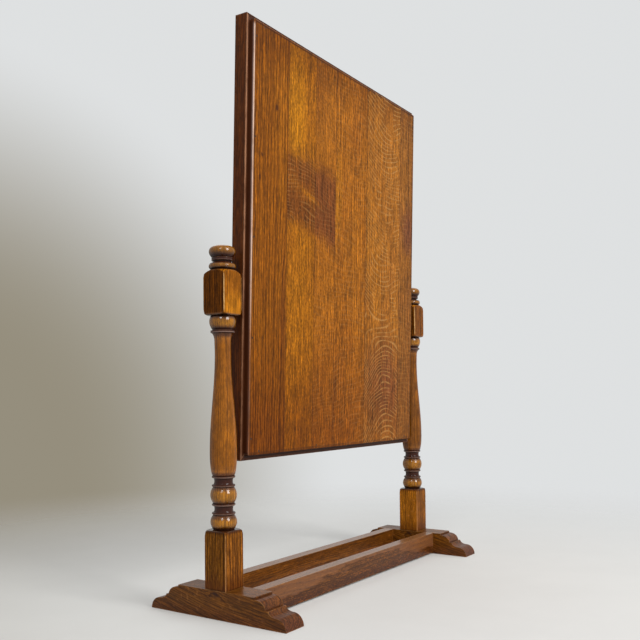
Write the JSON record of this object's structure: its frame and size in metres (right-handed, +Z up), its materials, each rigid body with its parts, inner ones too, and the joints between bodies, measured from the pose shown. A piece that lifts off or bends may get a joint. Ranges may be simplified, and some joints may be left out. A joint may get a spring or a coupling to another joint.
{
  "type": "dressing table mirror",
  "caption": "Tilting mirror: bevelled glass in a mitred oak frame with a boarded back, pivoted between turned posts on shaped feet joined by stretchers.",
  "frame": {"origin": "on the floor, midway between the feet and under the pivot line", "axes": "+X along the width to the right as seen from the front, +Y to the back (the glass faces -Y), +Z up"},
  "size_m": [0.608, 0.24, 0.8502],
  "materials": {
    "foot_oak": "stained oak under gloss lacquer",
    "stretcher_oak": "stained oak under gloss lacquer",
    "post_oak": "stained, turned oak under gloss lacquer",
    "brass": "dull turned brass",
    "steel": "plain bright steel",
    "leather": "plain brown leather",
    "frame_oak": "dark stained oak under gloss lacquer",
    "mirror_glass": "silvered, bevelled glass",
    "card": "grey-brown board",
    "bead_pine": "planed softwood, unfinished",
    "back_oak": "stained quarter-sawn oak under satin lacquer",
    "nail_iron": "dark iron"
  },
  "bodies": {
    "stand": {"left_foot": "foot_oak", "right_foot": "foot_oak", "front_stretcher": "stretcher_oak", "back_stretcher": "stretcher_oak", "left_post": "post_oak", "right_post": "post_oak", "left_insert": "brass", "right_insert": "brass", "left_pivot_bolt": "steel", "right_pivot_bolt": "steel", "left_spacer": "brass", "right_spacer": "brass", "left_leather_washer": "leather", "right_leather_washer": "leather", "left_steel_washer": "steel", "right_steel_washer": "steel"},
    "mirror": {"left_bush": "brass", "right_bush": "brass", "left_stile": "frame_oak", "right_stile": "frame_oak", "top_rail": "frame_oak", "bottom_rail": "frame_oak", "mirror_glass": "mirror_glass", "backing_card": "card", "left_glazing_bead": "bead_pine", "right_glazing_bead": "bead_pine", "top_glazing_bead": "bead_pine", "bottom_glazing_bead": "bead_pine", "back_board_1": "back_oak", "back_board_2": "back_oak", "back_board_3": "back_oak", "back_board_4": "back_oak", "back_board_5": "back_oak", "back_board_6": "back_oak", "back_board_7": "back_oak", "back_nails": "nail_iron"}
  },
  "joints": [
    {"name": "mirror_tilt", "type": "hinge", "parent": "stand", "child": "mirror", "pos_m": [0, 0, 0.44819], "axis": [1, 0, 0], "continuous": true}
  ]
}
